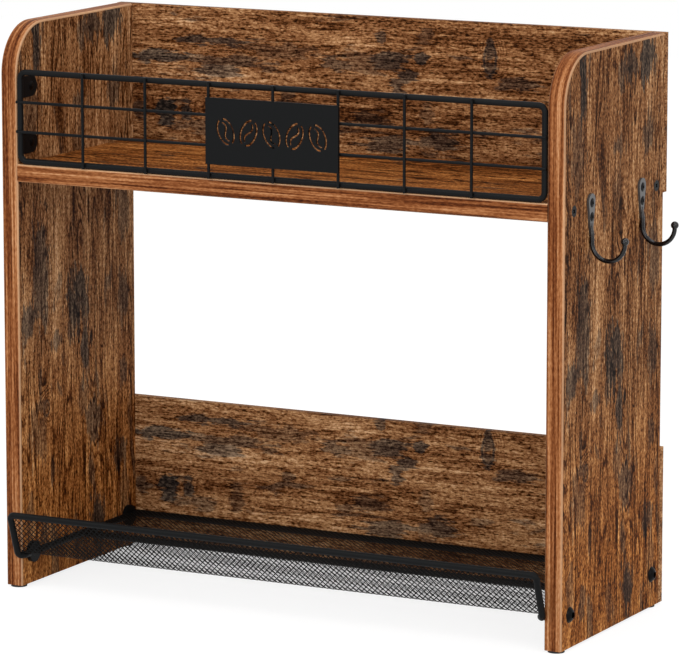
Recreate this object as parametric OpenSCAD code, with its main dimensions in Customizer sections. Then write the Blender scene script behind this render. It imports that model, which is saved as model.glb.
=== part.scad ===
// Counter-top coffee station organizer: two side panels carry a shelf with a wire guard and
// a sign plate, two back boards stiffen the rear, a mesh tray hangs low between the panels
// and two mug hooks stand on the right panel.
// Units are millimetres. Inside the carcass frame X runs left to right from the middle,
// Y runs from the front edges of the panels to the rear, and Z runs up from their lower ends.

/* [Carcass] */
// Overall width across the side panels
body_w = 416; // [340:1:560]
// Height of the side panels
panel_h = 384; // [360:1:480]
// Depth of the side panels from front to rear
panel_d = 155; // [140:1:220]
// Thickness of the side panels
panel_t = 12; // [11:0.5:18]
// Radius of the top front corner of the side panels
corner_r = 34; // [15:1:50]
// Thickness of the edge band
band_t = 1.5; // [1.3:0.1:3]
// Rounding along both arrises of the edge band
edge_r = 1.2; // [0.5:0.1:1.4]

/* [Shelf] */
// Thickness of the shelf
shelf_t = 12; // [11:0.5:18]

/* [Back boards] */
// Thickness of both back boards
back_t = 6; // [4:0.5:12]
// Height of each back board, the upper one reaching from the shelf's underside to the panels' top
back_h = 106; // [92:1:150]
// Distance of the screws at the ends of a back board from its long edges
back_screw_inset = 18; // [12:0.5:30]
// Wood left between a back board screw and a tray bolt
back_screw_clear = 2; // [1:0.5:5]
// Distance between the screws along the shelf's rear edge
shelf_rear_screw_pitch = 120; // [80:1:140]
// Number of screws along the shelf's rear edge
shelf_rear_screws = 3; // [1:1:3]

/* [Feet] */
// Diameter of a foot pad
foot_d = 11; // [8:0.5:11]
// Thickness of a foot pad
foot_t = 1.5; // [1:0.25:4]
// Distance of the front foot pads' centres from the front edges
foot_front = 6; // [6:0.5:30]
// Distance of the rear foot pads' centres from the panels' rear edges
foot_rear = 6; // [6:0.5:30]

/* [Guard] */
// Outer height of the guard frame
guard_h = 64; // [50:1:80]
// Wire diameter of the guard frame
guard_frame_d = 4; // [3:0.1:5]
// Wire diameter of the thin guard wires
guard_wire_d = 2; // [1.5:0.1:3]
// Distance of the frame wire's middle behind the front plane
guard_back = 1.2; // [0:0.1:6]
// Gap between the guard frame and each side panel
guard_side_gap = 0.4; // [0.2:0.1:1]
// Gap between the guard frame and the shelf
guard_foot_gap = 0.2; // [0.1:0.1:1]
// Bend radius of the frame's corners at the wire's middle
guard_corner_r = 4.5; // [3:0.5:12]
// Distance from the frame's side wires to the outermost upright wires
guard_end_cell = 50; // [40:0.5:56]
// Depth to which the cross wires are sunk into the frame where they are welded
guard_weld = 1; // [0.6:0.1:1]
// Length of a fixing tab behind the frame
tab_l = 21; // [16:0.5:30]
// Height of a fixing tab
tab_h = 14; // [10:0.5:18]
// Thickness of a fixing tab
tab_t = 1.5; // [1:0.1:2.5]
// Distance of the tabs' middles from the middle of the guard
tab_rise = 19; // [14:0.5:24]

/* [Sign plate] */
// Width of the sign plate
sign_w = 98; // [90:1:120]
// Height of the sign plate
sign_h = 44; // [36:1:50]
// Thickness of the sign plate
sign_t = 1.2; // [0.8:0.1:2]
// Number of bean cut-outs
bean_count = 5; // [3:2:5]
// Distance between bean cut-outs
bean_pitch = 17; // [16:0.5:20]
// Length of a bean cut-out
bean_l = 19; // [14:0.5:22]
// Width of a bean cut-out
bean_w = 12.5; // [10:0.5:14]
// Width of the cut lines
bean_line = 1.4; // [1:0.1:1.8]
// Lean of the beans to either side, in degrees
bean_lean = 24; // [0:1:35]

/* [Tray] */
// Height of the tray wires and bolts above the lower ends of the panels
tray_z = 22; // [20:0.5:60]
// Diameter of the tray's frame wires
tray_wire_d = 4.5; // [3.5:0.1:4.5]
// Height of the lip bar above the tray wires
lip_h = 30; // [20:0.5:50]
// Distance of the lip bar in front of the panels
lip_out = 13.75; // [10:0.25:30]
// Distance of the legs' lower ends in front of the panels
leg_out = 3.6; // [3.6:0.1:8]
// Distance of the legs' middles outside the panels' inner faces
leg_overlap = 0.6; // [0:0.1:0.8]
// Bend radius of the lip wire at its middle
lip_bend_r = 3.5; // [3:0.25:4]
// Diameter of a fixing ear
ear_d = 14.5; // [12:0.5:14.5]
// Thickness of a fixing ear
ear_t = 3; // [2:0.25:5]
// Gap between a tray side wire and the panel
tray_side_gap = 0.2; // [0.1:0.05:1]
// Gap between the rear tray wire and the lower back board
tray_rear_gap = 0.2; // [0.1:0.05:1]
// Width of one mesh diamond
mesh_pitch = 8; // [6:0.5:16]
// Thickness of a mesh strand
strand_d = 1; // [0.8:0.1:1.5]
// Width of the rim around the mesh
mesh_rim_w = 2; // [1.5:0.1:4]

/* [Hooks] */
// Distance of the front hook from the front plane
hook_front_y = 39; // [30:1:60]
// Distance between the two hooks
hook_spacing = 79.5; // [40:0.5:90]
// Height of the hook plates' top above the shelf's top face
hook_top = 2.5; // [-20:0.5:60]
// Width of a hook plate
hook_plate_w = 10; // [9:0.25:14]
// Thickness of a hook plate
hook_plate_t = 1.6; // [1.2:0.1:2.5]
// Distance from the round top of a hook plate to its neck
hook_neck_l = 21; // [18:0.5:30]
// Diameter of the hook's wire
hook_wire_d = 3; // [2.5:0.1:4]
// Straight length of wire below the neck
hook_drop = 5.5; // [3:0.1:12]
// Radius of the hook's bowl at the wire's middle
hook_r = 11.5; // [9:0.1:16]
// Height of the ball above the bowl's widest point
hook_tip = 1.8; // [1:0.1:8]
// Diameter of the ball
hook_ball_d = 5.2; // [4.5:0.1:8]
// Distance from the plate's top to its upper screw
hook_screw_drop = 6; // [5:0.25:8]
// Distance between the two screws of a hook
hook_screw_pitch = 9; // [7:0.25:10]

/* [Fasteners] */
// Distance of the front shelf screws from the panels' front edges
shelf_screw_front = 15; // [10:0.5:25]
// Distance of the rear shelf screws from the panels' rear edges
shelf_screw_rear = 10.5; // [10:0.5:25]
// Distance of the front tray bolts from the panels' front edges
bolt_front = 13; // [12:0.5:20]
// Distance of the rear tray bolts from the panels' rear edges
bolt_rear = 12; // [12:0.5:20]
// Diameter of the shelf screws
shelf_screw_d = 4; // [3.5:0.1:5]
// Head diameter of the shelf screws
shelf_screw_head = 7.5; // [7:0.5:9]
// Length of the shelf screws
shelf_screw_l = 40; // [30:1:50]
// Diameter of the shelf dowels
dowel_d = 6; // [5:0.5:8]
// Depth of a dowel in the side panel
dowel_in_panel = 8; // [6:0.5:9]
// Depth of a dowel in the shelf
dowel_in_shelf = 16; // [12:0.5:24]
// Diameter of the tray bolts
bolt_d = 6; // [4:0.5:6]
// Head diameter of the tray bolts
bolt_head_d = 10.5; // [9:0.5:12]
// Head height of the tray bolts
bolt_head_h = 3; // [2:0.25:3.5]
// Width across corners of the bolts' sockets
bolt_socket = 4.6; // [3:0.1:5]
// Diameter of the back board screws
back_screw_d = 3.5; // [3:0.1:4]
// Head diameter of the back board screws
back_screw_head = 7; // [6:0.1:8]
// Length of the back board screws
back_screw_l = 30; // [20:1:35]
// Diameter of the guard and hook screws
small_screw_d = 3; // [2.5:0.1:3.5]
// Head diameter of the guard and hook screws
small_screw_head = 6.2; // [5:0.1:6.6]
// Length of the guard and hook screws in the wood
small_screw_l = 9; // [6:0.5:9.5]
// Height of a raised screw head above its plate
raised_head_h = 0.7; // [0.4:0.1:1.2]
// Radial clearance of every screw, bolt and dowel in its hole
hole_gap = 0.05; // [0.02:0.01:0.2]

/* [Hidden] */

$fn = 64;
hook_lift = 0.1;
bend_reach = 0.3;
wire_ease = 0.04;
past = 1;
guard_uprights = 7;
LEFT = -1;
RIGHT = 1;
SIDES = [LEFT, RIGHT];
FRONT_REAR = ["front", "rear"];

wood = "#8a5a34";
band = "#8f5530";
black = "#2b2b2c";
bare_wood = "#c9a878";

// Carcass
half_w = body_w / 2;
inner_half = half_w - panel_t;
shelf_z = panel_h - back_h;
shelf_top = shelf_z + shelf_t;
shelf_mid_z = shelf_z + shelf_t / 2;
panel_mid_x = half_w - panel_t / 2;
shelf_screw_ys = [shelf_screw_front, panel_d - shelf_screw_rear];
bolt_ys = [bolt_front, panel_d - bolt_rear];
back_rear_y = panel_d + back_t;

// Guard
frame_r = guard_frame_d / 2;
thin_r = guard_wire_d / 2;
frame_half_w = inner_half - guard_side_gap - frame_r;
guard_pitch = 2 * (frame_half_w - guard_end_cell) / (guard_uprights - 1);
frame_bottom_z = shelf_top + guard_foot_gap + frame_r;
frame_top_z = frame_bottom_z + guard_h - guard_frame_d;
guard_mid_z = (frame_bottom_z + frame_top_z) / 2;
thin_y = guard_back - frame_r - thin_r;
cross_y = thin_y + guard_weld;
cross_rise = (frame_top_z - frame_bottom_z) / 6;
weld_gap = 0.02;
tab_front_y = guard_back + frame_r;
tab_screw_y = tab_front_y + tab_l - tab_h / 2;

// Tray
wire_r = tray_wire_d / 2;
side_wire_x = inner_half - tray_side_gap - wire_r;
rear_wire_y = panel_d - tray_rear_gap - wire_r;
lip_half_w = inner_half + leg_overlap;
ear_front_y = bolt_ys[0] - ear_d / 2;
ear_xs = inner_half - ear_t;
bar_z = tray_z + lip_h;
strand_r = strand_d / 2;
mesh_z = tray_z + wire_r;
mesh_half_w = min(ear_xs - strand_r, side_wire_x - 0.5);
mesh_front_y = -leg_out;
lip_angle = atan2(lip_out - leg_out, lip_h);
mesh_rim_lap = 0.1;
mesh_t = 2 * strand_d + weld_gap + 2 * mesh_rim_lap;
lip_lift = mesh_t;
mesh_lip_l = (bar_z - mesh_z) / cos(lip_angle) - wire_r - lip_lift;

// Hooks
hook_top_z = shelf_top + hook_top;
hook_round_z = hook_top_z - hook_plate_w / 2;
hook_neck_z = hook_round_z - hook_neck_l;
hook_bowl_z = hook_neck_z - hook_drop;
hook_wire_x = hook_wire_d / 2 + hook_lift;
hook_ball_x = hook_wire_x + 2 * hook_r;
hook_reach = hook_ball_x + hook_ball_d / 2;
hook_screw_zs = [hook_top_z - hook_screw_drop, hook_top_z - hook_screw_drop - hook_screw_pitch];
hook_ys = [hook_front_y, hook_front_y + hook_spacing];

// Back boards
back_screw_low = tray_z + bolt_d / 2 + back_screw_clear + back_screw_d / 2;
lower_screw_zs = [max(back_screw_inset, back_screw_low), back_h - back_screw_inset];
upper_screw_zs = [shelf_z + back_screw_inset, panel_h - back_screw_inset];

// Place of the carcass frame, so that the middle of the whole base lies at the origin
front_reach = lip_out + wire_r;
carcass_at = [-hook_reach / 2, (front_reach - back_rear_y) / 2, foot_t];

function unit(v) = v / norm(v);
function side_frame(p, x, y, z) = [
    [x[0], y[0], z[0], p[0]], [x[1], y[1], z[1], p[1]], [x[2], y[2], z[2], p[2]], [0, 0, 0, 1]
];

module carcass() {
    translate(carcass_at) children();
}

module facing_x(side) {
    rotate([0, side * 90, 0]) children();
}

module facing_rear() {
    rotate([-90, 0, 0]) children();
}

// Stand what is given at p, pointing to q; left out where the two meet
module along(p, q) {
    if (norm(q - p) > 0.01) {
        z = unit(q - p);
        x = abs(z[2]) < 0.9 ? unit(cross([0, 0, 1], z)) : unit(cross([0, 1, 0], z));
        multmatrix(side_frame(p, x, cross(z, x), z)) children();
    }
}

// Round rod between two points
module rod(p, q, d) {
    along(p, q) cylinder(h = norm(q - p), d = d);
}

// Square bar between two points
module bar(p, q, w) {
    along(p, q) translate([-w / 2, -w / 2, 0]) cube([w, w, norm(q - p)]);
}

// Wire of diameter d along a list of points, with every corner bent to radius r.
// A skewed wire takes an ease: its straight runs are that much slimmer and reach into the bends.
module bent_wire(points, r, d, ease = 0) {
    n = len(points);
    reach = ease > 0 ? bend_reach : 0;
    dirs = [for (i = [0:n - 2]) unit(points[i + 1] - points[i])];
    turns = [for (i = [1:n - 2]) acos(dirs[i - 1] * dirs[i])];
    cuts = [0, for (a = turns) r * tan(a / 2) - reach, 0];
    union() {
        for (i = [0:n - 2])
            rod(points[i] + dirs[i] * cuts[i], points[i + 1] - dirs[i] * cuts[i + 1], d - ease);
        for (i = [1:n - 2]) {
            u = dirs[i - 1];
            w = dirs[i];
            inward = unit(w - u * (u * w));
            centre = points[i] - u * (cuts[i] + reach) + inward * r;
            multmatrix(side_frame(centre, -inward, u, cross(-inward, u)))
                rotate_extrude(angle = turns[i - 1]) translate([r, 0]) circle(d = d);
        }
    }
}

// Countersunk screw: its head lies flush with z = 0 and its point looks down
module flat_screw(d, head, l, gap = 0) {
    rim = 0.4;
    cone = (head - d) / 2;
    r = d / 2 + gap;
    tip = gap > 0 ? 0 : d * 0.8;
    rotate_extrude() polygon([
        [0, 0], [head / 2 + gap, 0], [head / 2 + gap, -rim], [r, -rim - cone],
        [r, tip - l - gap], [tip > 0 ? d * 0.1 : r, -l - gap], [0, -l - gap]
    ]);
}

// Screw with a low domed head that seats on z = 0
module raised_screw(d, head, l) {
    dome_r = (head * head / 4 + raised_head_h * raised_head_h) / (2 * raised_head_h);
    union() {
        intersection() {
            translate([0, 0, raised_head_h - dome_r]) sphere(r = dome_r);
            cylinder(h = head, d = head);
        }
        translate([0, 0, -l]) cylinder(h = l, d = d);
    }
}

// Section of a board behind its edge band, x across the board and y inwards from the edge
module board_2d(t, l) {
    translate([0, band_t]) square([t, l - band_t]);
}

// Section of an edge band with both outer arrises rounded
module band_2d(t) {
    translate([0, edge_r]) square([t, band_t - edge_r]);
    translate([edge_r, 0]) square([t - 2 * edge_r, edge_r]);
    for (x = [edge_r, t - edge_r]) translate([x, edge_r]) intersection() {
        circle(r = edge_r);
        translate([-edge_r, -edge_r]) square([2 * edge_r, edge_r]);
    }
}

// Section swept up the front edge, round the corner and back along the top edge.
// Child 0 is the section of the front run, child 1 that of the corner and the top run.
module panel_sweep() {
    corner_z = panel_h - corner_r;
    union() {
        linear_extrude(corner_z) children(0);
        multmatrix(side_frame([panel_t, corner_r, corner_z], [0, -1, 0], [0, 0, 1], [-1, 0, 0]))
            rotate_extrude(angle = 90) rotate(90) translate([0, -corner_r]) children(1);
        translate([0, panel_d, panel_h]) rotate([90, 0, 0])
            linear_extrude(panel_d - corner_r) mirror([0, 1]) children(1);
    }
}

// Side panel blank for the right side, outer face at x = half_w
module panel_blank() {
    translate([inner_half, 0, 0]) panel_sweep() {
        board_2d(panel_t, panel_d);
        board_2d(panel_t, corner_r);
    }
}

module side_panel(side) {
    color(wood) carcass() difference() {
        mirror([side < 0 ? 1 : 0, 0, 0]) panel_blank();
        for (y = shelf_screw_ys)
            translate([side * half_w, y, shelf_mid_z]) facing_x(side)
                flat_screw(shelf_screw_d, shelf_screw_head, shelf_screw_l, hole_gap);
        for (y = bolt_ys)
            translate([side * (half_w + past), y, tray_z]) facing_x(-side)
                cylinder(h = panel_t + 2 * past, d = bolt_d + 2 * hole_gap);
        translate([side * (inner_half - past), panel_d / 2, shelf_mid_z]) facing_x(side)
            cylinder(h = dowel_in_panel + past, d = dowel_d + 2 * hole_gap);
        for (rise = [-tab_rise, tab_rise])
            translate([side * (inner_half - past), tab_screw_y, guard_mid_z + rise]) facing_x(side)
                cylinder(h = small_screw_l + past, d = small_screw_d + 2 * hole_gap);
        for (z = concat(lower_screw_zs, upper_screw_zs))
            translate([side * panel_mid_x, back_rear_y, z]) facing_rear()
                flat_screw(back_screw_d, back_screw_head, back_screw_l, hole_gap);
        if (side == RIGHT)
            for (y = hook_ys, z = hook_screw_zs)
                translate([half_w + past, y, z]) facing_x(LEFT)
                    cylinder(h = small_screw_l + past, d = small_screw_d + 2 * hole_gap);
    }
}

module panel_edge_band(side) {
    color(band) carcass() mirror([side < 0 ? 1 : 0, 0, 0])
        translate([inner_half, 0, 0]) panel_sweep() {
            band_2d(panel_t);
            band_2d(panel_t);
        }
}

// Lay a board section down, its nose to the front and its thickness upwards
module laid_on_shelf() {
    translate([-inner_half, 0, shelf_z]) multmatrix(
        side_frame([0, 0, 0], [0, 0, 1], [0, 1, 0], [-1, 0, 0])
    ) translate([0, 0, -2 * inner_half]) linear_extrude(2 * inner_half) children();
}

module shelf_board() {
    color(wood) carcass() difference() {
        laid_on_shelf() board_2d(shelf_t, panel_d);
        for (side = SIDES) {
            for (y = shelf_screw_ys)
                translate([side * half_w, y, shelf_mid_z]) facing_x(side)
                    flat_screw(shelf_screw_d, shelf_screw_head, shelf_screw_l, hole_gap);
            translate([side * (inner_half + past), panel_d / 2, shelf_mid_z]) facing_x(-side)
                cylinder(h = dowel_in_shelf + past, d = dowel_d + 2 * hole_gap);
        }
        shelf_rear_screw_places()
            flat_screw(back_screw_d, back_screw_head, back_screw_l, hole_gap);
    }
}

module shelf_edge_band() {
    color(band) carcass() laid_on_shelf() band_2d(shelf_t);
}

module end_screw_places(zs) {
    for (side = SIDES, z = zs)
        translate([side * panel_mid_x, back_rear_y, z]) facing_rear() children();
}

module shelf_rear_screw_places() {
    for (i = [0:shelf_rear_screws - 1])
        translate([
            (i - (shelf_rear_screws - 1) / 2) * shelf_rear_screw_pitch, back_rear_y, shelf_mid_z
        ]) facing_rear() children();
}

module back_board(z) {
    translate([-half_w, panel_d, z]) cube([body_w, back_t, back_h]);
}

module upper_back_board() {
    color(wood) carcass() difference() {
        back_board(shelf_z);
        end_screw_places(upper_screw_zs)
            flat_screw(back_screw_d, back_screw_head, back_screw_l, hole_gap);
        shelf_rear_screw_places()
            flat_screw(back_screw_d, back_screw_head, back_screw_l, hole_gap);
    }
}

module lower_back_board() {
    color(wood) carcass() difference() {
        back_board(0);
        end_screw_places(lower_screw_zs)
            flat_screw(back_screw_d, back_screw_head, back_screw_l, hole_gap);
    }
}

module back_screws_upper() {
    color(black) carcass() {
        end_screw_places(upper_screw_zs) flat_screw(back_screw_d, back_screw_head, back_screw_l);
        shelf_rear_screw_places() flat_screw(back_screw_d, back_screw_head, back_screw_l);
    }
}

module back_screws_lower() {
    color(black) carcass() end_screw_places(lower_screw_zs)
        flat_screw(back_screw_d, back_screw_head, back_screw_l);
}

module shelf_screws() {
    color(black) carcass() for (side = SIDES, y = shelf_screw_ys)
        translate([side * half_w, y, shelf_mid_z]) facing_x(side)
            flat_screw(shelf_screw_d, shelf_screw_head, shelf_screw_l);
}

module shelf_dowels() {
    color(bare_wood) carcass() for (side = SIDES)
        translate([side * (inner_half - dowel_in_shelf), panel_d / 2, shelf_mid_z]) facing_x(side)
            cylinder(h = dowel_in_shelf + dowel_in_panel, d = dowel_d);
}

module foot(side, at) {
    y = at == "front" ? foot_front : panel_d - foot_rear;
    color(black) carcass() translate([side * panel_mid_x, y, -foot_t])
        cylinder(h = foot_t, d = foot_d);
}

// Closed rectangle of wire with rounded corners
module guard_frame() {
    y = guard_back;
    color(black) carcass() bent_wire([
        [0, y, frame_bottom_z], [frame_half_w, y, frame_bottom_z],
        [frame_half_w, y, frame_top_z], [-frame_half_w, y, frame_top_z],
        [-frame_half_w, y, frame_bottom_z], [0, y, frame_bottom_z]
    ], guard_corner_r, guard_frame_d);
}

// Thin wire across the whole guard at the given rise from its middle
module cross_rod(rise, d) {
    x = frame_half_w + frame_r;
    z = guard_mid_z + rise * cross_rise;
    rod([-x, cross_y, z], [x, cross_y, z], d);
}

// Upright wires lie on the front of the frame, ends level with its outer edges,
// and bed down over the cross wires where they are welded
module guard_upright(i) {
    x = (i - (guard_uprights + 1) / 2) * guard_pitch;
    color(black) carcass() difference() {
        translate([x, thin_y, frame_bottom_z - frame_r]) cylinder(h = guard_h, d = guard_wire_d);
        for (rise = [-1, 1]) cross_rod(rise, guard_wire_d + 2 * weld_gap);
    }
}

// Cross wires bed down on the uprights of the frame
module guard_cross_wire(rise) {
    color(black) carcass() difference() {
        cross_rod(rise, guard_wire_d);
        for (side = SIDES) translate([side * frame_half_w, guard_back, frame_bottom_z])
            cylinder(h = guard_h, d = guard_frame_d + 2 * weld_gap);
    }
}

// Tab that reaches back from the frame along the inner face of a side panel
module guard_tab(side, rise) {
    color(black) carcass() translate([side * inner_half, 0, guard_mid_z + rise * tab_rise])
        facing_x(-side) difference() {
            union() {
                translate([-tab_h / 2, tab_front_y, 0]) cube([tab_h, tab_screw_y - tab_front_y, tab_t]);
                translate([0, tab_screw_y, 0]) cylinder(h = tab_t, d = tab_h);
            }
            translate([0, tab_screw_y, -past])
                cylinder(h = tab_t + 2 * past, d = small_screw_d + 2 * hole_gap);
        }
}

module guard_screws() {
    color(black) carcass() for (side = SIDES, rise = [-tab_rise, tab_rise])
        translate([side * (inner_half - tab_t), tab_screw_y, guard_mid_z + rise]) facing_x(-side)
            raised_screw(small_screw_d, small_screw_head, small_screw_l + tab_t - 0.2);
}

// One half of a bean's outline, cut as a curved slot between two bridges
module bean_half(side) {
    a = bean_w / 2;
    b = bean_l / 2;
    steps = 12;
    gap_angle = 14;
    span = 180 - 2 * gap_angle;
    outer = [for (i = [0:steps]) let (t = 90 - gap_angle - i * span / steps) [a * cos(t), b * sin(t)]];
    inner = [for (i = [0:steps]) let (t = gap_angle - 90 + i * span / steps)
        [(a - bean_line) * cos(t), (b - bean_line) * sin(t)]];
    mirror([side < 0 ? 1 : 0, 0]) polygon(concat(outer, inner));
}

// The S-shaped crease along the middle of a bean
module bean_crease() {
    reach = bean_l / 2 - 2 * bean_line;
    sway = bean_w * 0.13;
    steps = 12;
    line = [for (i = [0:steps]) let (s = -1 + 2 * i / steps) [sway * sin(180 * s), reach * s]];
    polygon(concat(
        [for (p = line) p + [bean_line / 2, 0]],
        [for (i = [steps:-1:0]) line[i] - [bean_line / 2, 0]]
    ));
}

// Sign plate with a row of coffee beans cut through it, leaning left and right in turn
module sign_plate() {
    back_y = thin_y - thin_r;
    color(black) carcass() translate([0, back_y, guard_mid_z]) rotate([90, 0, 0])
        difference() {
            translate([-sign_w / 2, -sign_h / 2, 0]) cube([sign_w, sign_h, sign_t]);
            for (i = [0:bean_count - 1])
                translate([(i - (bean_count - 1) / 2) * bean_pitch, 0, -past])
                    rotate(i % 2 == 0 ? bean_lean : -bean_lean) {
                        for (side = SIDES) linear_extrude(sign_t + 2 * past) bean_half(side);
                        linear_extrude(sign_t + 2 * past) bean_crease();
                    }
        }
}

// Bar, two leaning legs in front of the panels and two returns that turn in to the front ears
module tray_lip_wire() {
    color(black) carcass() bent_wire([
        [-side_wire_x, ear_front_y, tray_z], [-side_wire_x, 0, tray_z],
        [-lip_half_w, -leg_out, tray_z], [-lip_half_w, -lip_out, bar_z],
        [lip_half_w, -lip_out, bar_z], [lip_half_w, -leg_out, tray_z],
        [side_wire_x, 0, tray_z], [side_wire_x, ear_front_y, tray_z]
    ], lip_bend_r, tray_wire_d, wire_ease);
}

module tray_side_wire(side) {
    x = side * side_wire_x;
    color(black) carcass() rod(
        [x, bolt_ys[0] + ear_d / 2, tray_z], [x, bolt_ys[1] - ear_d / 2, tray_z], tray_wire_d);
}

module tray_rear_wire() {
    x = inner_half - tray_side_gap;
    color(black) carcass() rod([-x, rear_wire_y, tray_z], [x, rear_wire_y, tray_z], tray_wire_d);
}

module tray_cross_wire() {
    x = side_wire_x - wire_r;
    y = panel_d / 2;
    color(black) carcass() rod([-x, y, tray_z], [x, y, tray_z], tray_wire_d);
}

module tray_ear(side, at) {
    y = at == "front" ? bolt_ys[0] : bolt_ys[1];
    color(black) carcass() translate([side * inner_half, y, tray_z]) facing_x(-side)
        difference() {
            cylinder(h = ear_t, d = ear_d);
            translate([0, 0, -past]) cylinder(h = ear_t + 2 * past, d = bolt_d + 2 * hole_gap);
        }
}

// Strands at 45 degrees across a field of width w and height h, one family per direction
module strands(w, h, lean) {
    first = ceil(-h / mesh_pitch);
    last = floor(w / mesh_pitch);
    for (i = [first:last]) {
        foot_x = i * mesh_pitch + (w % mesh_pitch) / 2;
        low = max(0, -foot_x);
        high = min(h, w - foot_x);
        if (high - low > mesh_pitch / 2)
            bar(
                [lean * (foot_x + low - w / 2), low, 0],
                [lean * (foot_x + high - w / 2), high, 0], strand_d);
    }
}

// Two crossing families of strands, the second laid on the first, set into a flat rim
// whose underside lies at z = 0
module mesh_field(w, h) {
    strand_w = w - mesh_rim_w;
    strand_h = h - mesh_rim_w;
    union() {
        linear_extrude(mesh_t) difference() {
            translate([-w / 2, 0]) square([w, h]);
            translate([mesh_rim_w - w / 2, mesh_rim_w]) square([w - 2 * mesh_rim_w, h - 2 * mesh_rim_w]);
        }
        translate([0, mesh_rim_w / 2, mesh_rim_lap + strand_r]) strands(strand_w, strand_h, 1);
        translate([0, mesh_rim_w / 2, mesh_t - mesh_rim_lap - strand_r]) strands(strand_w, strand_h, -1);
    }
}

module tray_mesh_floor() {
    color(black) carcass() translate([0, mesh_front_y, mesh_z])
        mesh_field(2 * mesh_half_w, rear_wire_y - mesh_front_y);
}

module tray_mesh_lip() {
    color(black) carcass() translate([0, mesh_front_y, mesh_z]) rotate([90 + lip_angle, 0, 0])
        translate([0, lip_lift, -mesh_t / 2]) mesh_field(2 * mesh_half_w, mesh_lip_l);
}

module tray_bolts() {
    dome_r = (bolt_head_d * bolt_head_d / 4 + bolt_head_h * bolt_head_h) / (2 * bolt_head_h);
    color(black) carcass() for (side = SIDES, y = bolt_ys)
        translate([side * half_w, y, tray_z]) facing_x(side) difference() {
            union() {
                intersection() {
                    translate([0, 0, bolt_head_h - dome_r]) sphere(r = dome_r);
                    cylinder(h = bolt_head_d, d = bolt_head_d);
                }
                translate([0, 0, -panel_t - ear_t]) cylinder(h = panel_t + ear_t, d = bolt_d);
            }
            translate([0, 0, bolt_head_h * 0.35]) cylinder(h = bolt_head_h, d = bolt_socket, $fn = 6);
        }
}

// Teardrop plate, a wire that grows out of its neck, a round bowl and a ball
module hook(y) {
    top_r = hook_plate_w / 2;
    neck_r = hook_wire_d / 2 - hook_lift;
    flank = asin((top_r - neck_r) / hook_neck_l);
    side_x = cos(flank);
    side_y = sin(flank);
    color(black) carcass() translate([half_w, y, 0]) difference() {
        union() {
            translate([0, 0, hook_round_z]) facing_x(RIGHT) linear_extrude(hook_plate_t) {
                circle(r = top_r);
                translate([hook_neck_l, 0]) circle(r = neck_r);
                polygon([
                    [top_r * side_y, top_r * side_x],
                    [hook_neck_l + neck_r * side_y, neck_r * side_x],
                    [hook_neck_l + neck_r * side_y, -neck_r * side_x],
                    [top_r * side_y, -top_r * side_x]
                ]);
            }
            translate([hook_wire_x, 0, hook_neck_z])
                cylinder(h = hook_neck_l / 3, r1 = hook_wire_d / 2, r2 = hook_wire_d / 8);
            bent_wire([
                [hook_wire_x, 0, hook_neck_z], [hook_wire_x, 0, hook_bowl_z - hook_r],
                [hook_ball_x, 0, hook_bowl_z - hook_r], [hook_ball_x, 0, hook_bowl_z + hook_tip]
            ], hook_r, hook_wire_d);
            translate([hook_ball_x, 0, hook_bowl_z + hook_tip]) sphere(d = hook_ball_d);
        }
        for (z = hook_screw_zs) translate([-past, 0, z]) facing_x(RIGHT)
            cylinder(h = hook_plate_t + 2 * past, d = small_screw_d + 2 * hole_gap);
    }
}

module hook_screws() {
    color(black) carcass() for (y = hook_ys, z = hook_screw_zs)
        translate([half_w + hook_plate_t, y, z]) facing_x(RIGHT)
            raised_screw(small_screw_d, small_screw_head, small_screw_l + hook_plate_t - 0.2);
}

side_panel(LEFT);  // left_side_panel
side_panel(RIGHT);  // right_side_panel
panel_edge_band(LEFT);  // left_edge_band
panel_edge_band(RIGHT);  // right_edge_band
shelf_board();
shelf_edge_band();
upper_back_board();
lower_back_board();
guard_frame();
for (i = [1:guard_uprights]) guard_upright(i);
guard_cross_wire(-1);  // guard_cross_wire_lower
guard_cross_wire(1);  // guard_cross_wire_upper
guard_tab(LEFT, -1);  // guard_tab_left_lower
guard_tab(LEFT, 1);  // guard_tab_left_upper
guard_tab(RIGHT, -1);  // guard_tab_right_lower
guard_tab(RIGHT, 1);  // guard_tab_right_upper
sign_plate();
tray_lip_wire();
tray_side_wire(LEFT);  // tray_side_wire_left
tray_side_wire(RIGHT);  // tray_side_wire_right
tray_rear_wire();
tray_cross_wire();
tray_mesh_floor();
tray_mesh_lip();
for (at = FRONT_REAR) {
    tray_ear(LEFT, at);
    tray_ear(RIGHT, at);
    foot(LEFT, at);
    foot(RIGHT, at);
}
hook(hook_ys[0]);  // hook_front
hook(hook_ys[1]);  // hook_rear
shelf_screws();
shelf_dowels();
back_screws_upper();
back_screws_lower();
guard_screws();
hook_screws();
tray_bolts();
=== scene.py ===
import bpy
import bmesh
import math
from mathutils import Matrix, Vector


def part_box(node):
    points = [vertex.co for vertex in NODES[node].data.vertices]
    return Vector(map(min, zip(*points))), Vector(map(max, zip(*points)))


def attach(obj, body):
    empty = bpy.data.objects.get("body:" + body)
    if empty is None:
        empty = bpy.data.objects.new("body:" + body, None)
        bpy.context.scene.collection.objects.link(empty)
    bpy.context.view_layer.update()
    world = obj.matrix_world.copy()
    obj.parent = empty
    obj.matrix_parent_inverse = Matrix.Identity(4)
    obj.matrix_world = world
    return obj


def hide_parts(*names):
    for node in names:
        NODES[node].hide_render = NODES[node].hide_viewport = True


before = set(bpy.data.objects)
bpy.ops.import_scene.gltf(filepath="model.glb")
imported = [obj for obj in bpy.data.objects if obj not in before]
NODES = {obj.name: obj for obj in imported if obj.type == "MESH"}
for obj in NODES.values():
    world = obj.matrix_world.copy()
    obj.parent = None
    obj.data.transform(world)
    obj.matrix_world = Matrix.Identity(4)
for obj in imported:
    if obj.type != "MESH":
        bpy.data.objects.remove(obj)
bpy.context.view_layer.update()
MM = 0.001

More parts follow.
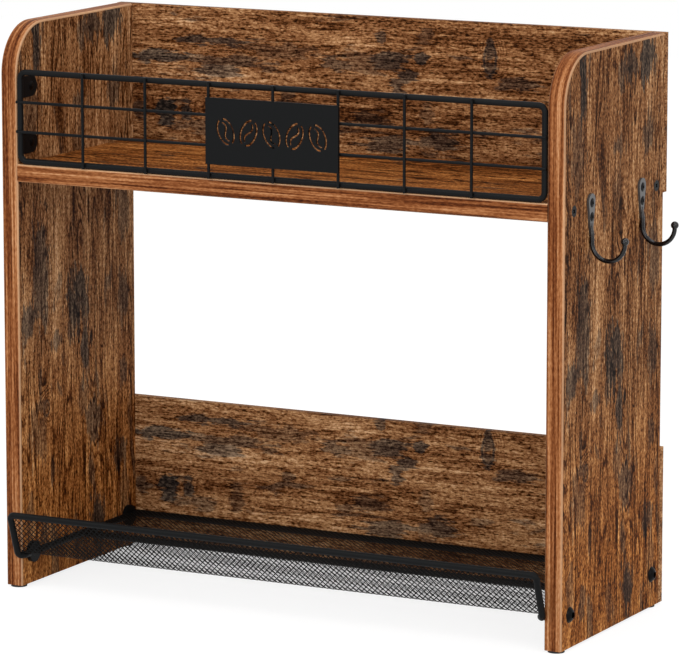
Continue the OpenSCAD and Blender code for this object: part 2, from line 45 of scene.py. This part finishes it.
# Places in the row frame, read from the CAD nodes
lip_low, lip_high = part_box("tray_lip_wire")
rear_low, rear_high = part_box("tray_rear_wire")
side_low, side_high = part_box("tray_side_wire_right")
right_low, right_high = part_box("right_side_panel")
mid_x = (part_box("left_side_panel")[0].x + right_high.x) / 2
front_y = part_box("right_edge_band")[0].y
under_z = right_low.z


def carcass(x, y, z):
    """Millimetres in the carcass frame to metres in the row frame."""
    return Vector((mid_x + x * MM, front_y + y * MM, under_z + z * MM))


def in_carcass(place):
    """Metres in the row frame to millimetres in the carcass frame."""
    return (place - carcass(0, 0, 0)) / MM


# Sizes of the carcass in millimetres
inner_half = in_carcass(right_low).x
half_width = in_carcass(right_high).x
depth = in_carcass(right_high).y
shelf_under, shelf_top = [in_carcass(corner).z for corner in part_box("shelf_board")]


# Colour and node helpers
def tone(code):
    """An sRGB hex colour as linear RGBA."""
    parts = [int(code[i:i + 2], 16) / 255 for i in (1, 3, 5)]
    return tuple(c / 12.92 if c <= 0.04045 else ((c + 0.055) / 1.055) ** 2.4 for c in parts) + (1.0,)


def blank(owner):
    """The empty node tree of a material or the world."""
    owner.use_nodes = True
    owner.node_tree.nodes.clear()
    return owner.node_tree


def add(t, kind, feeds=(), out=0, stops=(), **settings):
    """Add a node with its settings, its ramp's stops and its feeds, and return one of its outputs."""
    n = t.nodes.new("ShaderNode" + kind)
    for key, value in settings.items():
        setattr(n, key, value)
    for i, (place, code) in enumerate(stops):
        if i >= len(n.color_ramp.elements):
            n.color_ramp.elements.new(place)
    for e, (place, code) in zip(n.color_ramp.elements if stops else (), stops):
        e.position, e.color = place, tone(code)
    for key, value in feeds.items() if isinstance(feeds, dict) else enumerate(feeds):
        if isinstance(value, bpy.types.NodeSocket):
            t.links.new(value, n.inputs[key])
        else:
            n.inputs[key].default_value = value
    return n.outputs[out] if len(n.outputs) else None


# Patterns
def grain_vector(t, order, origin):
    """Millimetres from an origin in the carcass frame: (along the grain, across it, into the board)."""
    mm = add(t, "VectorMath", {0: add(t, "TexCoord", out="Object"), "Scale": 1 / MM}, operation="SCALE")
    mm = add(t, "VectorMath", (mm, carcass(*origin) / MM), operation="SUBTRACT")
    axes = add(t, "SeparateXYZ", (mm,)).node.outputs
    return add(t, "CombineXYZ", [axes["xyz".index(k)] for k in order])


def streaks(t, vec, sizes, detail, rough, bend, seed):
    """Noise whose cells have the given sizes in mm along the grain and across it."""
    along, across = sizes
    place = add(t, "Mapping", {0: vec, "Location": (seed, seed * 0.7, seed * 1.3),
                               "Scale": (1 / along, 1 / across, 1 / across)})
    return add(t, "TexNoise", {"Vector": place, "Scale": 1.0, "Detail": detail, "Roughness": rough,
                               "Distortion": bend})


def sway(t, start, *parts):
    """A start value plus each noise's departure from its middle times its weight."""
    total = start
    for noise, weight in parts:
        part = add(t, "Math", (noise, 0.5), operation="SUBTRACT")
        part = add(t, "Math", (part, weight), operation="MULTIPLY")
        total = add(t, "Math", (total, part), operation="ADD")
    return total


def ellipse(t, vec, along, across, half_l, half_w):
    """The distance from a place on the board, 1 on the edge of an ellipse."""
    away = add(t, "VectorMath", (vec, (along, across, 0)), operation="SUBTRACT")
    flat = add(t, "VectorMath", (away, (1 / half_l, 1 / half_w, 0)), operation="MULTIPLY")
    return add(t, "VectorMath", (flat,), "Value", operation="LENGTH")


# Levels of the print, from the darkest fleck to the palest: (place on the ramp, colour)
WOOD = [(0.05, "#220f03"), (0.25, "#4e2a11"), (0.5, "#825533"), (0.75, "#b3855a"), (0.95, "#d8ae84")]
CHAR = [(0.05, "#0c0a08"), (0.25, "#1c1714"), (0.5, "#382e28"), (0.75, "#655546"), (0.95, "#8c7763")]
BAND = [(0.05, "#301203"), (0.25, "#54270c"), (0.5, "#7c4724"), (0.75, "#a26b42"), (0.95, "#bc8a62")]
# What the wood's colour is multiplied by where it turns golden
GOLDEN = (1.35, 1.12, 0.72, 1)
# Contour lines of the ring field from its lowest value to its highest
RING_COUNT = 26.0


# Printed melamine on particleboard: a photo print of weathered boards under a matte film.
# The eye sees golden brown wood, fine dark grain, coarse flecks and ragged charcoal stains.
def board(name, order, origin, seed, marks=(), knots=(), rings=0.42, painted_light=0.0, golden=None):
    """marks are stains and knots are rings: (along, across, half length, half width, strength) in mm.
    golden is the stretch along the grain over which the colour turns golden.
    """
    m = bpy.data.materials.new(name)
    t = blank(m)
    vec = grain_vector(t, order, origin)
    fibre = streaks(t, vec, (34, 1.7), 5, 0.72, 0.15, seed + 5)
    # painted_light lifts or lowers the whole board's level: painted light where other parts shade the board,
    # painted shade where it is below zero
    level = sway(t, 0.53 + painted_light, (streaks(t, vec, (150, 26), 3, 0.55, 0.5, seed), 0.75),
                 (streaks(t, vec, (90, 5.5), 3, 0.6, 0.3, seed + 3), 0.75), (fibre, 1.25),
                 (streaks(t, vec, (2.2, 1.3), 1, 0.7, 0.0, seed + 13), 0.85))
    pores = add(t, "MapRange", (streaks(t, vec, (3.8, 1.0), 1, 0.6, 0.0, seed + 7), 0.54, 0.64, 0.0, 0.3))
    level = add(t, "Math", (level, pores), operation="SUBTRACT")

    # Growth rings: contour lines of a stretched field that swells at the knots
    field = streaks(t, vec, (210, 30), 2, 0.4, 0.2, seed + 29)
    for along, across, half_l, half_w, strength in knots:
        far = ellipse(t, vec, along, across, half_l * 3, half_w * 3)
        swell = add(t, "MapRange", (far, 1.0, 0.0, 0.0, 0.25 * strength), interpolation_type="SMOOTHSTEP")
        field = add(t, "Math", (field, swell), operation="ADD")
    wave = add(t, "Math", (field, RING_COUNT), operation="MULTIPLY")
    wave = add(t, "Math", (wave,), operation="FRACT")
    ring = add(t, "Math", (add(t, "MapRange", (wave, 0.5, 0.85)), add(t, "MapRange", (wave, 1.0, 0.9))),
               operation="MULTIPLY")
    clear = streaks(t, vec, (70, 20), 2, 0.5, 0.3, seed + 31)
    clear = add(t, "MapRange", (clear, 0.42, 0.58, 0.04, rings))
    ring = add(t, "Math", (ring, clear), operation="MULTIPLY")
    level = add(t, "Math", (level, ring), operation="SUBTRACT")

    # Smoky stains that follow the grain, with ragged edges
    ragged = sway(t, 0.0, (streaks(t, vec, (15, 2.4), 3, 0.7, 0.3, seed + 23), 2.6),
                  (streaks(t, vec, (24, 7), 2, 0.6, 0.6, seed + 19), 2.4))
    smoke = streaks(t, vec, (58, 13), 3, 0.6, 0.8, seed + 17)
    smoke = add(t, "Math", (smoke, add(t, "Math", (ragged, 0.09), operation="MULTIPLY")), operation="ADD")
    dark = add(t, "MapRange", (smoke, 0.60, 0.67, 0.0, 0.65))
    for along, across, half_l, half_w, strength in marks:
        far = add(t, "Math", (ellipse(t, vec, along, across, half_l, half_w), ragged), operation="ADD")
        stain = add(t, "MapRange", (far, 1.15, 0.92, 0.0, strength))
        dark = add(t, "Math", (dark, stain), operation="MAXIMUM")
    for along, across, half_l, half_w, strength in knots:
        uneven = add(t, "Math", (ragged, 0.3), operation="MULTIPLY")
        far = add(t, "Math", (ellipse(t, vec, along, across, half_l, half_w), uneven), operation="ADD")
        rim = add(t, "Math", (far, 0.85), operation="SUBTRACT")
        rim = add(t, "MapRange", (add(t, "Math", (rim,), operation="ABSOLUTE"), 0.3, 0.1, 0.0, strength))
        dark = add(t, "Math", (dark, rim), operation="MAXIMUM")

    wood = add(t, "ValToRGB", (level,), stops=WOOD)
    if golden:
        warm = add(t, "Mix", {0: 1.0, 6: wood, 7: GOLDEN}, 2, data_type="RGBA", blend_type="MULTIPLY")
        along = add(t, "SeparateXYZ", (vec,))
        wood = add(t, "Mix", {0: add(t, "MapRange", (along, *golden)), 6: wood, 7: warm}, 2,
                   data_type="RGBA")
    char = add(t, "ValToRGB", (level,), stops=CHAR)
    base = add(t, "Mix", {0: dark, 6: wood, 7: char}, 2, data_type="RGBA")
    bump = add(t, "Bump", {"Height": fibre, "Strength": 0.25, "Distance": 0.1 * MM})
    film = add(t, "BsdfPrincipled", {"Base Color": base, "Roughness": 0.6, "Specular IOR Level": 0.03,
                                     "Normal": bump})
    add(t, "OutputMaterial", (film,))
    return m


# Printed melamine edge band: straight orange-brown grain along the edge; a pale cream painted highlight
# runs along the rounded arrises, strongest on the arrises that face the light
def edge_band(name, run, across, seed, arrises):
    """run names the axes that the band follows, arrises are (place on the axis across it, strength of the
    painted highlight).
    """
    m = bpy.data.materials.new(name)
    t = blank(m)
    axes = add(t, "SeparateXYZ", (grain_vector(t, "xyz", (0, 0, 0)),)).node.outputs
    along, *turned = [axes["xyz".index(k)] for k in run]
    for axis in turned:
        along = add(t, "Math", (along, axis), operation="ADD")
    side = axes["xyz".index(across)]
    vec = add(t, "CombineXYZ", (along, side))
    level = sway(t, 0.5, (streaks(t, vec, (180, 3.4), 2, 0.5, 0.1, seed), 1.1),
                 (streaks(t, vec, (90, 1.3), 2, 0.6, 0.1, seed + 4), 1.5),
                 (streaks(t, vec, (3.2, 1.0), 1, 0.6, 0.0, seed + 9), 0.6))
    base = add(t, "ValToRGB", (level,), stops=BAND)
    # Painted highlight: the colour turns pale cream within about a millimetre of each arris
    for place, highlight_strength in arrises:
        near = add(t, "Math", (side, place), operation="SUBTRACT")
        near = add(t, "Math", (near,), operation="ABSOLUTE")
        painted_highlight = add(t, "MapRange", (near, 1.1, 0.5, 0.0, highlight_strength))
        base = add(t, "Mix", {0: painted_highlight, 6: base, 7: tone("#cfa680")}, 2, data_type="RGBA")
    film = add(t, "BsdfPrincipled", {"Base Color": base, "Roughness": 0.55, "Specular IOR Level": 0.06})
    add(t, "OutputMaterial", (film,))
    return m


# Black powder coat on steel: matte, with a very fine orange-peel surface
def powder_coat(name, code, rough):
    m = bpy.data.materials.new(name)
    t = blank(m)
    peel = streaks(t, grain_vector(t, "xyz", (0, 0, 0)), (0.6, 0.6), 2, 0.5, 0.0, 0.0)
    bump = add(t, "Bump", {"Height": peel, "Strength": 0.15, "Distance": 0.04 * MM})
    coat_film = add(t, "BsdfPrincipled", {"Base Color": tone(code), "Roughness": rough,
                                          "Specular IOR Level": 0.11, "Normal": bump})
    add(t, "OutputMaterial", (coat_film,))
    return m


# Black oxide steel, beech and rubber need no pattern at this size
def plain(name, code, rough, sheen=0.5):
    m = bpy.data.materials.new(name)
    t = blank(m)
    skin = add(t, "BsdfPrincipled", {"Base Color": tone(code), "Roughness": rough,
                                     "Specular IOR Level": sheen})
    add(t, "OutputMaterial", (skin,))
    return m


# Glossy black lacquer on the hooks: near black on the wires; the flat plates carry a greyer colour, a
# painted reflection
def hook_lacquer():
    m = bpy.data.materials.new("black_lacquer")
    t = blank(m)
    height = add(t, "SeparateXYZ", (grain_vector(t, "xyz", (0, 0, 0)),), "Z")
    # Painted reflection: the colour turns grey from 262 to 276 mm up, where the flat plates are
    base = add(t, "Mix", {0: add(t, "MapRange", (height, 262, 276)), 6: tone("#050506"),
                          7: tone("#454240")}, 2, data_type="RGBA")
    gloss = add(t, "BsdfPrincipled", {"Base Color": base, "Roughness": 0.2, "Specular IOR Level": 0.38})
    add(t, "OutputMaterial", (gloss,))
    return m


# Both panels carry the same print, and so do both back boards.
# Stains of the panels: up the panel, back from its front edge
PANEL_MARKS = [
    (363, 27, 24, 5, 0.95), (319, 19, 24, 12, 0.5), (368, 100, 13, 11, 0.8), (370, 129, 16, 12, 0.95),
    (321, 129, 13, 8, 0.7), (364, 88, 10, 5, 0.6), (288, 82, 15, 7, 0.4), (236, 142, 22, 8, 0.6),
    (205, 31, 36, 11, 0.8), (179, 78, 20, 12, 0.9), (141, 90, 20, 6, 0.9), (173, 13, 12, 10, 0.85),
    (156, 49, 6, 8, 0.75), (111, 86, 12, 7, 0.5), (90, 99, 16, 10, 0.75), (63, 134, 11, 9, 0.75),
    (120, 141, 8, 5, 0.6), (92, 24, 18, 10, 0.5), (22, 103, 19, 8, 0.9), (25, 33, 10, 5, 0.65),
    (17, 74, 10, 5, 0.5), (40, 13, 21, 5, 0.5), (176, 141, 16, 6, 0.65), (31, 140, 18, 6, 0.45),
    (113, 30, 5, 7, 0.6)]
# Stains of the back boards: to the right from the middle, up from the lower edge
BACK_MARKS = [
    (-169, 42, 7, 9, 1.0), (-153, 43, 4, 7, 0.9), (-191, 42, 6, 7, 0.7), (-175, 80, 21, 4, 0.95),
    (-119, 80, 38, 3, 0.7), (-133, 94, 26, 3, 0.85), (-127, 72, 15, 4, 0.85), (-87, 76, 7, 3, 0.6),
    (-83, 89, 29, 6, 0.45), (-36, 83, 11, 5, 0.7), (-74, 57, 5, 4, 0.6), (-114, 38, 5, 10, 0.5),
    (-143, 33, 10, 5, 0.6), (-29, 40, 8, 3, 0.55), (3, 87, 13, 7, 0.85), (-14, 84, 17, 9, 0.5),
    (-1, 102, 4, 5, 0.75), (30, 90, 4, 4, 0.9), (18, 76, 7, 5, 0.85), (11, 69, 6, 6, 0.8),
    (102, 76, 15, 5, 0.7), (-10, 46, 12, 7, 0.6), (3, 30, 18, 6, 0.8), (45, 34, 12, 8, 0.8),
    (34, 49, 5, 10, 0.45), (76, 42, 8, 3, 0.5), (81, 85, 5, 6, 0.75), (81, 99, 3, 8, 0.8),
    (33, 105, 6, 5, 0.5)]
# Knots: an eye of dark rings
PANEL_KNOTS = [(111, 36, 6, 4, 0.8), (20, 70, 30, 7, 0.0)]
BACK_KNOTS = [(81, 91, 5, 11, 0.9), (-161, 42, 8, 9, 0.5)]
# How the print lies on the left panel and the upper back board, against the other of its pair
LEFT_SHIFT_Y, LEFT_SHIFT_Z = -1.4, 6.6
UPPER_SHIFT_Z = -10.4
PANEL_SEED = 83.0
BACK_SEED = 2.0
BACK_RINGS = 0.2
# The panels turn golden and a little lighter towards their foot, the shelf all over
PANEL_GOLDEN = (170, 40)
ALL_GOLDEN = (500, 400)

board_upper = board("board_upper", "xzy", (0, depth, shelf_under + UPPER_SHIFT_Z), BACK_SEED, BACK_MARKS,
                    BACK_KNOTS, BACK_RINGS)
# Painted light lifts the lower back board against the shelf's shade and the left panel against the shade
# between the panels; the shelf top gets painted shade
board_lower = board("board_lower", "xzy", (0, depth, 0), BACK_SEED, BACK_MARKS, BACK_KNOTS, BACK_RINGS, 0.09)
board_shelf = board("board_shelf", "xyz", (0, 0, shelf_top), 47.0, painted_light=-0.09, golden=ALL_GOLDEN)
board_left = board("board_left", "zyx", (-inner_half, LEFT_SHIFT_Y, LEFT_SHIFT_Z), PANEL_SEED, PANEL_MARKS,
                   PANEL_KNOTS, painted_light=0.05, golden=PANEL_GOLDEN)
board_right = board("board_right", "zyx", (half_width, 0, 0), PANEL_SEED, PANEL_MARKS, PANEL_KNOTS,
                    golden=PANEL_GOLDEN)
# The arrises' painted highlight: strong on the left panel's inner arris, the right panel's outer arris and
# the shelf band's top, faint on the others
band_left = edge_band("band_left", "zy", "x", 7.0, [(-inner_half, 0.6), (-half_width, 0.2)])
band_right = edge_band("band_right", "zy", "x", 11.0, [(half_width, 0.5), (inner_half, 0.15)])
band_level = edge_band("band_level", "x", "z", 19.0, [(shelf_top, 0.7), (shelf_under, 0.15)])
coat = powder_coat("powder_coat", "#08090a", 0.5)
coat_mesh = powder_coat("powder_coat_mesh", "#060606", 0.6)
oxide = plain("black_oxide", "#040404", 0.4, 0.09)
lacquer = hook_lacquer()
beech = plain("beech", "#c9a878", 0.6)
pad = plain("foot_pad", "#161616", 0.8)

LOOKS = {
    "upper_back_board": board_upper, "lower_back_board": board_lower, "shelf_board": board_shelf,
    "left_side_panel": board_left, "right_side_panel": board_right,
    "left_edge_band": band_left, "right_edge_band": band_right, "shelf_edge_band": band_level,
    "shelf_screws": oxide, "back_screws_upper": oxide, "back_screws_lower": oxide,
    "guard_screws": oxide, "hook_screws": oxide, "tray_bolts": oxide, "shelf_dowels": beech,
    "hook_front": lacquer, "hook_rear": lacquer,
}
for name, node in NODES.items():
    look = LOOKS.get(name, pad if name.startswith("foot_") else coat)
    node.data.materials.clear()
    node.data.materials.append(look)


def piece(name, bm, look, slot, *nodes):
    """A finished mesh that rides on the part, takes a material slot for its look and stands for CAD nodes;
    the slot argument is not used.
    """
    mesh = bpy.data.meshes.new(name)
    bm.to_mesh(mesh)
    bm.free()
    obj = bpy.data.objects.new(name, mesh)
    bpy.context.scene.collection.objects.link(obj)
    mesh.materials.append(look)
    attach(obj, "root")
    if nodes:
        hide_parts(*nodes)
    return obj


def ribbon(bm, route, normals, wide, thick):
    """A flat strand along a route, lying in the sheet whose normal is given at each point."""
    rings = []
    for i, p in enumerate(route):
        run = (route[min(i + 1, len(route) - 1)] - route[max(i - 1, 0)]).normalized()
        w = run.cross(normals[i]).normalized()
        n = w.cross(run)
        rings.append([bm.verts.new(p + w * sx * wide / 2 + n * sy * thick / 2)
                      for sx, sy in ((-1, -1), (1, -1), (1, 1), (-1, 1))])
    for a, b in zip(rings, rings[1:]):
        for k in range(4):
            bm.faces.new((a[k], a[(k + 1) % 4], b[(k + 1) % 4], b[k]))
    bm.faces.new(rings[0][::-1])
    bm.faces.new(rings[-1])


# One bent sheet of expanded steel mesh, from the rear wire over the bend up to the lip bar.
# Its diamonds measure PITCH from corner to corner; BEND is the radius of its bend.
PITCH = 4.05 * MM
STRAND = 0.62 * MM
SHEET = 0.15 * MM
BEND = 3.0 * MM
BEND_STEPS = 4
# Distance that the sheet's sides keep from the outer sides of the side wires
SIDE_INSET = 1.4 * MM
# Share of the bar's radius by which the sheet stops short of the bar's middle
BAR_SHARE = 0.6

half = side_high.x - mid_x - SIDE_INSET
floor_z = side_high.z + SHEET
rear_y = (rear_low.y + rear_high.y) / 2
bar_r = (rear_high.z - rear_low.z) / 2
bar = Vector((0, lip_low.y + bar_r, lip_high.z - bar_r))
root = Vector((0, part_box("tray_mesh_floor")[0].y, (side_low.z + side_high.z) / 2))
lean = math.atan2(root.y - bar.y, bar.z - root.z)
turn = math.pi / 2 - lean
bend_y = root.y - math.tan(lean) * (floor_z - root.z)
cut = BEND * math.tan(turn / 2)
flat_l = rear_y - bend_y - cut
arc_l = BEND * turn
rise_l = (bar.z - floor_z) / math.cos(lean) - cut - bar_r * BAR_SHARE


def sheet_point(x, s):
    """The place and normal of the sheet at width x and distance s along it from the rear."""
    if s <= flat_l:
        return Vector((x, rear_y - s, floor_z)), Vector((0, 0, 1))
    a = min((s - flat_l) / BEND, turn)
    p = Vector((x, bend_y + cut - BEND * math.sin(a), floor_z + BEND * (1 - math.cos(a))))
    n = Vector((0, math.sin(a), math.cos(a)))
    rest = max(s - flat_l - arc_l, 0)
    return p + rest * Vector((0, -math.cos(a), math.sin(a))), n


def expanded_mesh():
    """Two families of flat strands that cross the sheet at 45 degrees, one just over the other."""
    bm = bmesh.new()
    total = flat_l + arc_l + rise_l
    stops = [flat_l + arc_l * k / BEND_STEPS for k in range(BEND_STEPS + 1)]
    count = int((2 * half + total) / PITCH)
    for way in (1, -1):
        for i in range(count + 1):
            foot = i * PITCH - total
            low = max(0.0, -foot)
            high = min(total, 2 * half - foot)
            if high - low < PITCH / 2:
                continue
            route, normals = [], []
            for s in [low] + [s for s in stops if low < s < high] + [high]:
                p, n = sheet_point(mid_x + way * (foot + s - half), s)
                route.append(p + n * way * SHEET * 0.45)
                normals.append(n)
            ribbon(bm, route, normals, STRAND, SHEET)
    return bm


piece("tray_mesh", expanded_mesh(), coat_mesh, "metal", "tray_mesh_floor", "tray_mesh_lip")


def carve(node, cutters, look, slot):
    """A copy of a CAD node with cutters taken out of it, shown in its place."""
    src = bpy.data.objects.new(node + "_source", NODES[node].data.copy())
    bpy.context.scene.collection.objects.link(src)
    objs = [src]
    for i, bm in enumerate(cutters):
        bmesh.ops.recalc_face_normals(bm, faces=bm.faces)
        mesh = bpy.data.meshes.new(f"{node}_cutter_{i}")
        bm.to_mesh(mesh)
        bm.free()
        tool = bpy.data.objects.new(mesh.name, mesh)
        bpy.context.scene.collection.objects.link(tool)
        objs.append(tool)
        mod = src.modifiers.new(f"cut_{i}", "BOOLEAN")
        mod.object, mod.operation, mod.solver = tool, "DIFFERENCE", "EXACT"
    bpy.context.view_layer.update()
    done = bmesh.new()
    done.from_mesh(src.evaluated_get(bpy.context.evaluated_depsgraph_get()).to_mesh())
    for o in objs:
        bpy.data.objects.remove(o)
    for f in done.faces:
        f.material_index = 0
    return piece(node + "_fine", done, look, slot, node)


# Cross recesses in the heads of the visible screws.
# Half length and half width of a slot at its top and on its floor, as shares of the recess' width
SLOT_TOP = (0.5, 0.12)
SLOT_FLOOR = (0.2, 0.09)
CORNERS = ((-1, -1), (1, -1), (1, 1), (-1, 1))


def recessed(node, places, width, deep):
    """Cut a cross recess into each head; places are (middle of the head's face, its outward axis)."""
    cutters = []
    for crossed in (False, True):
        bm = bmesh.new()
        for place, out in places:
            side = out.orthogonal().normalized()
            up = out.cross(side)
            a, b = (up, side) if crossed else (side, up)
            top, low = [
                [bm.verts.new(at + a * sx * width * shares[0] + b * sy * width * shares[1])
                 for sx, sy in CORNERS]
                for at, shares in ((place + out * MM, SLOT_TOP), (place - out * deep, SLOT_FLOOR))]
            bm.faces.new(top)
            bm.faces.new(low[::-1])
            for k in range(4):
                bm.faces.new((top[(k + 1) % 4], top[k], low[k], low[(k + 1) % 4]))
        cutters.append(bm)
    return carve(node, cutters, oxide, "screw")


# Places of the screws in the carcass frame
HOOK_YS = (39, 118.5)
HOOK_SCREW_ZS = (286.5, 277.5)
SHELF_SCREW_YS = (15, 144.5)
hook_head_x = in_carcass(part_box("hook_screws")[1]).x
shelf_mid = (shelf_under + shelf_top) / 2
recessed("hook_screws", [(carcass(hook_head_x, y, z), Vector((1, 0, 0)))
                         for y in HOOK_YS for z in HOOK_SCREW_ZS], 3.4 * MM, 1.1 * MM)
recessed("shelf_screws", [(carcass(s * half_width, y, shelf_mid), Vector((s, 0, 0)))
                          for s in (-1, 1) for y in SHELF_SCREW_YS], 4.6 * MM, 1.6 * MM)

# Pale studio floor. The light that falls on it meets the matte floor. The picture, gloss and glass show
# the white one: a glow of its own, which the light on it lifts to white, and the shadow doesn't.
PLAIN_WHITE = (1, 1, 1, 1)
FLOOR_HALF = 3.0
FLOOR_GLOW = 0.82


def background_rays(t):
    """1 for the rays that show the background: from the camera, in gloss and through glass."""
    rays = add(t, "LightPath").node.outputs
    seen = add(t, "Math", (rays["Is Camera Ray"], rays["Is Glossy Ray"]), operation="MAXIMUM")
    return add(t, "Math", (seen, rays["Is Transmission Ray"]), operation="MAXIMUM")


floor_mat = bpy.data.materials.new("studio_floor")
ft = blank(floor_mat)
matte = add(ft, "BsdfDiffuse", {"Color": tone("#e6e6e6")})
lit = add(ft, "BsdfDiffuse", {"Color": tone("#898989")})
glowing = add(ft, "Emission", {"Color": PLAIN_WHITE, "Strength": FLOOR_GLOW})
white = add(ft, "AddShader", (lit, glowing))
add(ft, "OutputMaterial", (add(ft, "MixShader", (background_rays(ft), matte, white)),))
bm = bmesh.new()
bmesh.ops.create_grid(bm, x_segments=1, y_segments=1, size=FLOOR_HALF)
floor_mesh = bpy.data.meshes.new("floor")
bm.to_mesh(floor_mesh)
bm.free()
floor = bpy.data.objects.new("floor", floor_mesh)
floor.location.z = -0.1 * MM
floor_mesh.materials.append(floor_mat)
bpy.context.scene.collection.objects.link(floor)

# Soft studio light
WORLD_GLOW = 0.75
world = bpy.data.worlds.new("studio")
bpy.context.scene.world = world
wt = blank(world)
shown = add(wt, "Background", {"Color": PLAIN_WHITE, "Strength": 1.0})
glow = add(wt, "Background", {"Color": PLAIN_WHITE, "Strength": WORLD_GLOW})
add(wt, "OutputWorld", (add(wt, "MixShader", (background_rays(wt), glow, shown)),))


def soft_light(name, place, aim, width, watts):
    data = bpy.data.lights.new(name, "AREA")
    data.shape, data.size, data.energy = "SQUARE", width, watts
    obj = bpy.data.objects.new(name, data)
    obj.location = place
    obj.rotation_euler = (Vector(aim) - Vector(place)).to_track_quat("-Z", "Y").to_euler()
    bpy.context.scene.collection.objects.link(obj)


soft_light("key", (-0.9, -1.9, 2.0), (0, 0, 0.2), 1.2, 18)
soft_light("side", (2.2, -1.2, 1.4), (0, 0, 0.2), 1.4, 18)
soft_light("top", (0.2, -0.2, 1.9), (0, 0, 0.2), 1.0, 8)
soft_light("fill", (0.3, -2.4, 0.4), (0, 0, 0.1), 1.2, 14)

# Camera solved from the photograph: its place in the carcass frame, its turn in degrees, its focal
# length and the middle of its lens in the photograph's pixels
PHOTO_WIDTH, PHOTO_HEIGHT = 679, 655
CAMERA_AT = (1417.29, -2621.88, 719.08)
PITCH_DOWN, ROLL, YAW = 9.7192, 0.008, 27.5694
FOCAL = 4620.7
LENS_U, LENS_V = 340.0, 306.55
SENSOR = 36
cam_data = bpy.data.cameras.new("camera")
cam = bpy.data.objects.new("camera", cam_data)
bpy.context.scene.collection.objects.link(cam)
cam.location = carcass(*CAMERA_AT)
cam.rotation_euler = [math.radians(a) for a in (90 - PITCH_DOWN, ROLL, YAW)]
cam_data.sensor_width = SENSOR
cam_data.lens = FOCAL / PHOTO_WIDTH * SENSOR
cam_data.shift_x = (PHOTO_WIDTH / 2 - LENS_U) / PHOTO_WIDTH
cam_data.shift_y = (LENS_V - PHOTO_HEIGHT / 2) / PHOTO_WIDTH
cam_data.clip_end = 20
bpy.context.scene.camera = cam

bpy.context.scene.view_settings.view_transform = "Standard"
